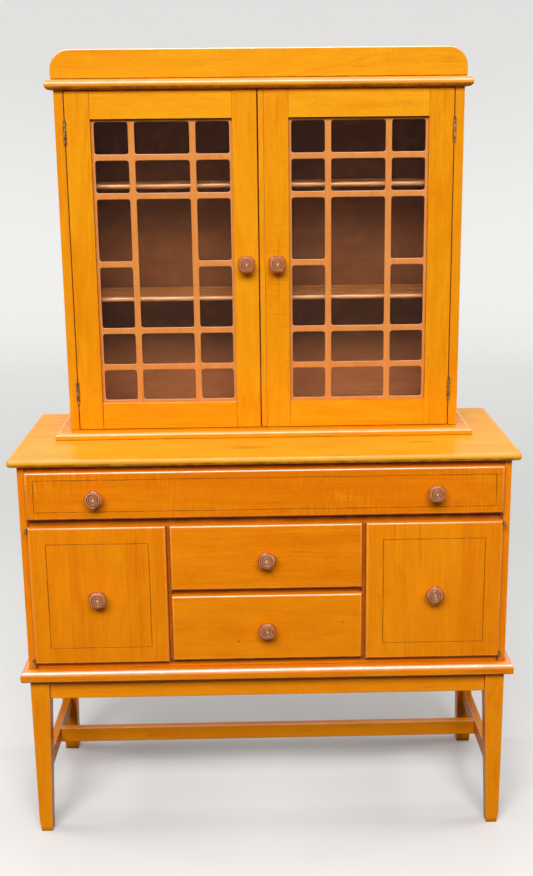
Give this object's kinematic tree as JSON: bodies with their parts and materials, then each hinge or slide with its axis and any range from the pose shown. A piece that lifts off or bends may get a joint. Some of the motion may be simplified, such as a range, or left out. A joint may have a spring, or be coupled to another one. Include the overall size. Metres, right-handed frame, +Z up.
{
  "type": "hutch",
  "caption": "Wooden china hutch: glazed fretwork doors over a countertop, with drawers and side cupboards below, on a tapered leg frame joined by stretchers.",
  "frame": {"origin": "on the floor, under the middle of the bounding box", "axes": "+Z up, +Y from the front to the back, +X to the right seen from the front; the doors and drawers face -Y"},
  "size_m": [1.1, 0.4658, 1.7377],
  "materials": {
    "maple": "honey-stained maple under satin lacquer",
    "top_maple": "honey-stained maple under satin lacquer, worn paler",
    "inside_maple": "plain interior wood, matt",
    "fretwork": "sawn wooden lattice, satin",
    "knob_wood": "carved wood, reddish brown, polished by hands",
    "antique_brass": "dark aged brass",
    "glass": "clear flat glass"
  },
  "bodies": {
    "hutch_case": {"leg_front_left": "maple", "leg_front_right": "maple", "leg_rear_left": "maple", "leg_rear_right": "maple", "apron_front": "maple", "apron_rear": "maple", "apron_left": "maple", "apron_right": "maple", "side_stretcher_left": "maple", "side_stretcher_right": "maple", "long_stretcher": "maple", "waist_moulding": "maple", "base_side_left": "maple", "base_side_right": "maple", "base_bottom": "maple", "drawer_web": "maple", "base_top_rail": "maple", "centre_bay": "maple", "plinth_board": "maple", "upper_side_left": "maple", "upper_side_right": "maple", "cornice": "maple", "gallery_board": "maple", "shelf_lower": "maple", "shelf_upper": "maple", "base_back": "inside_maple", "upper_back": "inside_maple", "butt_hinge_top_left": "antique_brass", "butt_hinge_top_right": "antique_brass", "butt_hinge_bottom_left": "antique_brass", "butt_hinge_bottom_right": "antique_brass", "pivot_hinge_top_left": "antique_brass", "pivot_hinge_top_right": "antique_brass", "pivot_hinge_bottom_left": "antique_brass", "pivot_hinge_bottom_right": "antique_brass", "countertop": "top_maple"},
    "upper_left_door": {"upper_left_door_frame": "maple", "upper_left_door_grille": "fretwork", "upper_left_door_glass": "glass", "upper_left_door_knob": "knob_wood"},
    "upper_right_door": {"upper_right_door_frame": "maple", "upper_right_door_grille": "fretwork", "upper_right_door_glass": "glass", "upper_right_door_knob": "knob_wood", "astragal": "maple"},
    "lower_left_door": {"lower_left_door": "maple", "lower_left_door_knob": "knob_wood"},
    "lower_right_door": {"lower_right_door": "maple", "lower_right_door_knob": "knob_wood"},
    "long_drawer": {"long_drawer_front": "maple", "long_drawer_box": "inside_maple", "long_drawer_knob_left": "knob_wood", "long_drawer_knob_right": "knob_wood"},
    "centre_drawer_upper": {"centre_drawer_upper_front": "maple", "centre_drawer_upper_box": "inside_maple", "centre_drawer_upper_knob": "knob_wood"},
    "centre_drawer_lower": {"centre_drawer_lower_front": "maple", "centre_drawer_lower_box": "inside_maple", "centre_drawer_lower_knob": "knob_wood"}
  },
  "joints": [
    {"name": "upper_left_door_hinge", "type": "hinge", "parent": "hutch_case", "child": "upper_left_door", "pos_m": [-0.4191, -0.0146, 1.2821], "axis": [0, 0, -1], "range_deg": [0, 170]},
    {"name": "upper_right_door_hinge", "type": "hinge", "parent": "hutch_case", "child": "upper_right_door", "pos_m": [0.4191, -0.0146, 1.2821], "axis": [0, 0, 1], "range_deg": [0, 170]},
    {"name": "lower_left_door_hinge", "type": "hinge", "parent": "hutch_case", "child": "lower_left_door", "pos_m": [-0.5167, -0.2076, 0.5815], "axis": [0, 0, -1], "range_deg": [0, 170]},
    {"name": "lower_right_door_hinge", "type": "hinge", "parent": "hutch_case", "child": "lower_right_door", "pos_m": [0.5167, -0.2076, 0.5815], "axis": [0, 0, 1], "range_deg": [0, 170]},
    {"name": "long_drawer_slide", "type": "slide", "parent": "hutch_case", "child": "long_drawer", "axis": [0, -1, 0], "range_m": [0, 0.3]},
    {"name": "centre_drawer_upper_slide", "type": "slide", "parent": "hutch_case", "child": "centre_drawer_upper", "axis": [0, -1, 0], "range_m": [0, 0.3]},
    {"name": "centre_drawer_lower_slide", "type": "slide", "parent": "hutch_case", "child": "centre_drawer_lower", "axis": [0, -1, 0], "range_m": [0, 0.3]}
  ]
}
